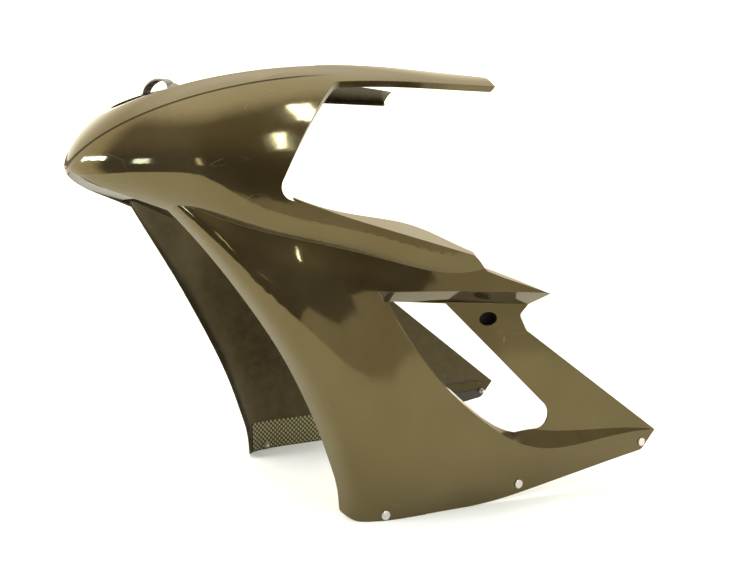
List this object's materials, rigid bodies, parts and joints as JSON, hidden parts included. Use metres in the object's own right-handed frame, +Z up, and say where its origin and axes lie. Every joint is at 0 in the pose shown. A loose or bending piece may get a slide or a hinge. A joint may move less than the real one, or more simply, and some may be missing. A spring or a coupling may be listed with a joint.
{
  "type": "motorcycle fairing",
  "caption": "One-piece moulded upper fairing with a pointed nose, screen opening, hand cut-outs, vented side panels and quarter-turn studs along the lower edges.",
  "frame": {"origin": "floor level under the middle of the bounding box, as it stands on the lower edges of its side panels", "axes": "+X towards the tail with the nose at -X, +Y across towards the rider's right-hand panel, +Z up"},
  "size_m": [0.8757, 0.4682, 0.636],
  "materials": {
    "gelcoat": "black gelcoat, glossy and scuffed",
    "weave": "resin-soaked woven cloth",
    "stud": "zinc plated, slotted",
    "ring": "plain steel",
    "strap": "black laminate strap"
  },
  "bodies": {
    "root": {"fairing_shell": "gelcoat", "reinforcement_left": "weave", "reinforcement_right": "weave", "quarter_turn_studs": "stud", "retaining_rings": "ring", "screen_hoop": "strap"}
  },
  "joints": []
}
